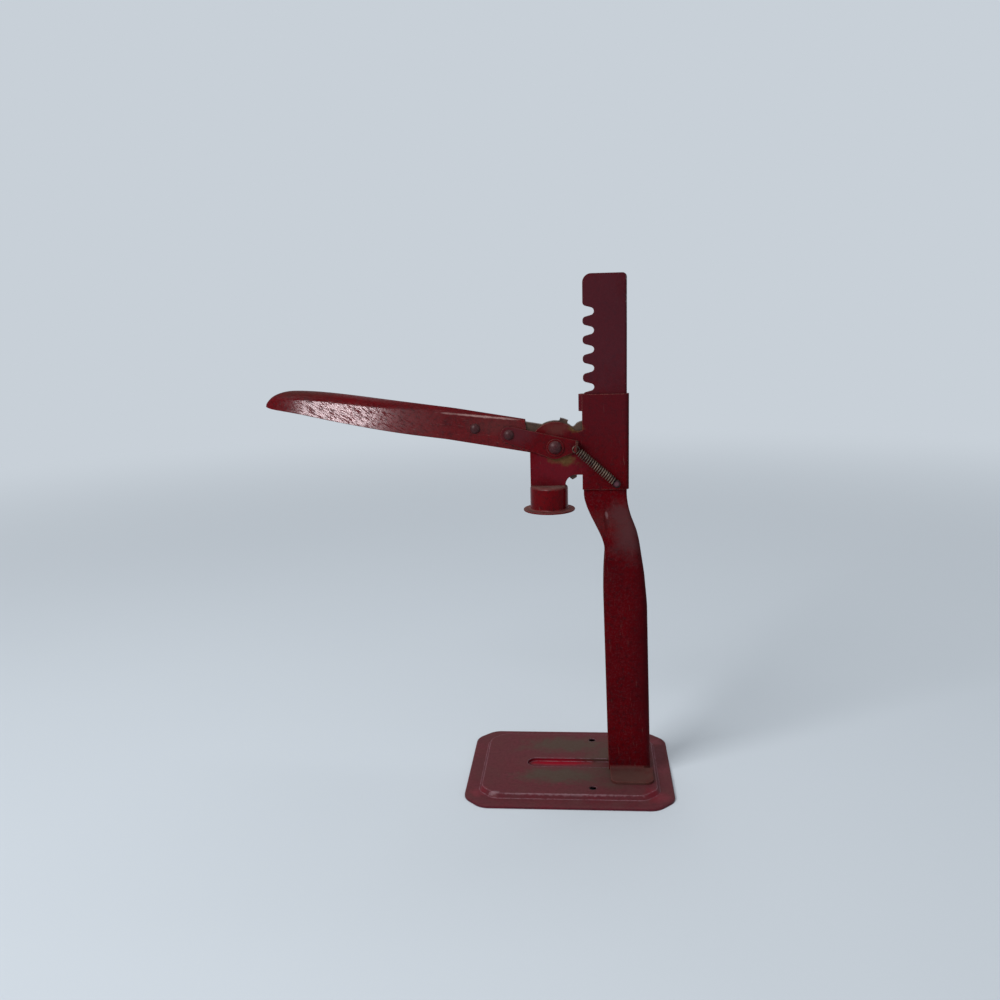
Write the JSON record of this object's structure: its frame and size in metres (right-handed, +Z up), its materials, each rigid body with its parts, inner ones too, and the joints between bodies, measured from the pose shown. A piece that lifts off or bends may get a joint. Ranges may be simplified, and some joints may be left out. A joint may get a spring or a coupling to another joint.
{
  "type": "bottle capper",
  "caption": "Hand bottle capper: pressed base, toothed post, sliding head with crimping bell and a geared lever that lifts and lowers the head.",
  "frame": {"origin": "middle of the base's footprint, on the table", "axes": "+Z up the post, +X from the handle towards the post, +Y from the near side to the far side"},
  "size_m": [0.3543, 0.1476, 0.4476],
  "materials": {
    "base_enamel": "worn gloss, dusty",
    "post_enamel": "worn gloss",
    "head_enamel": "worn gloss",
    "bell_enamel": "worn gloss",
    "handle_enamel": "worn gloss",
    "arm_enamel": "worn gloss",
    "gear_steel": "worn, bare flanks",
    "plug_steel": "satin",
    "rivet_steel": "aged",
    "spring_steel": "darkened"
  },
  "bodies": {
    "stand": {"base_plate": "base_enamel", "toothed_post": "post_enamel"},
    "head": {"head_housing": "head_enamel", "crimping_bell": "bell_enamel", "cap_plug": "plug_steel", "spring_stud": "rivet_steel", "return_spring": "spring_steel"},
    "lever": {"gear_plate": "gear_steel", "handle": "handle_enamel", "near_arm": "arm_enamel", "far_arm": "arm_enamel", "pivot_rivet": "rivet_steel", "front_rivet": "rivet_steel", "rear_rivet": "rivet_steel", "near_washer": "rivet_steel", "far_washer": "rivet_steel"}
  },
  "joints": [
    {"name": "head_slide", "type": "slide", "parent": "stand", "child": "head", "axis": [0, 0, 1], "range_m": [0, 0.0292]},
    {"name": "lever_pivot", "type": "hinge", "parent": "head", "child": "lever", "pos_m": [-0.00919, 0, 0.3024], "axis": [0, 1, 0], "range_deg": [0, 60], "deforming": ["return_spring"]}
  ],
  "couplings": [
    {"joint": "head_slide", "follows": "lever_pivot", "m_per_rad": 0.027792}
  ]
}
